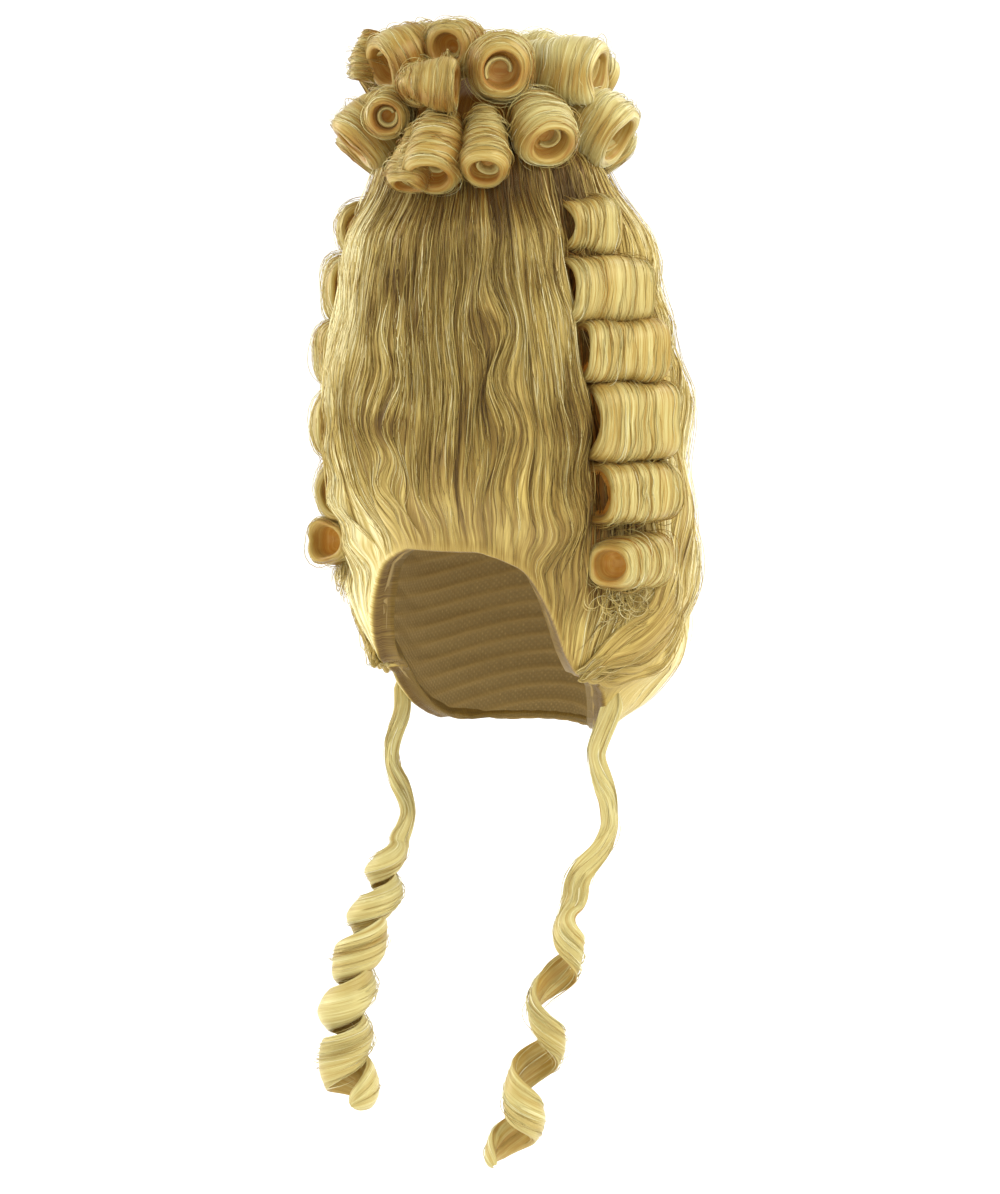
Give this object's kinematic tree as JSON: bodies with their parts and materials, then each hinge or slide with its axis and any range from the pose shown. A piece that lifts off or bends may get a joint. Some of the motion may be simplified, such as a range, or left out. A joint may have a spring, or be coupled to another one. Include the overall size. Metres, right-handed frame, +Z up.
{
  "type": "court wig",
  "caption": "Tall blond court wig: combed-up pouf on a net cap, stacked barrel curls at the sides, a heaped crown of curls and a long ringlet behind each ear.",
  "frame": {"origin": "top of the cap's hollow, where the wearer's crown touches it", "axes": "+Z up the pouf, -Y the way the face looks, +X to the wearer's left"},
  "size_m": [0.2752, 0.2703, 0.7502],
  "materials": {
    "combed_hair": "silky combed blond hair",
    "curled_hair": "glossy rolled blond hair",
    "ringlet_hair": "glossy pale blond hair",
    "cap_net": "fine brown net"
  },
  "bodies": {
    "root": {"cap": "cap_net", "pouf": "combed_hair", "side_curl_left_1": "curled_hair", "side_curl_left_2": "curled_hair", "side_curl_left_3": "curled_hair", "side_curl_left_4": "curled_hair", "side_curl_left_5": "curled_hair", "side_curl_left_6": "curled_hair", "side_curl_right_1": "curled_hair", "side_curl_right_2": "curled_hair", "side_curl_right_3": "curled_hair", "side_curl_right_4": "curled_hair", "side_curl_right_5": "curled_hair", "side_curl_right_6": "curled_hair", "crown_curl_01": "curled_hair", "crown_curl_02": "curled_hair", "crown_curl_03": "curled_hair", "crown_curl_04": "curled_hair", "crown_curl_05": "curled_hair", "crown_curl_06": "curled_hair", "crown_curl_07": "curled_hair", "crown_curl_08": "curled_hair", "crown_curl_09": "curled_hair", "crown_curl_10": "curled_hair", "crown_curl_11": "curled_hair", "crown_curl_12": "curled_hair", "crown_curl_13": "curled_hair", "crown_curl_14": "curled_hair", "crown_curl_15": "curled_hair", "crown_curl_16": "curled_hair", "crown_curl_17": "curled_hair", "crown_curl_18": "curled_hair", "crown_curl_19": "curled_hair", "crown_curl_20": "curled_hair", "crown_curl_21": "curled_hair", "crown_curl_22": "curled_hair", "crown_curl_23": "curled_hair", "crown_curl_24": "curled_hair", "crown_curl_25": "curled_hair", "crown_curl_26": "curled_hair", "crown_curl_27": "curled_hair", "crown_curl_28": "curled_hair", "swept_lock_left": "combed_hair", "swept_lock_right": "combed_hair", "ringlet_left": "ringlet_hair", "ringlet_right": "ringlet_hair"}
  },
  "joints": []
}
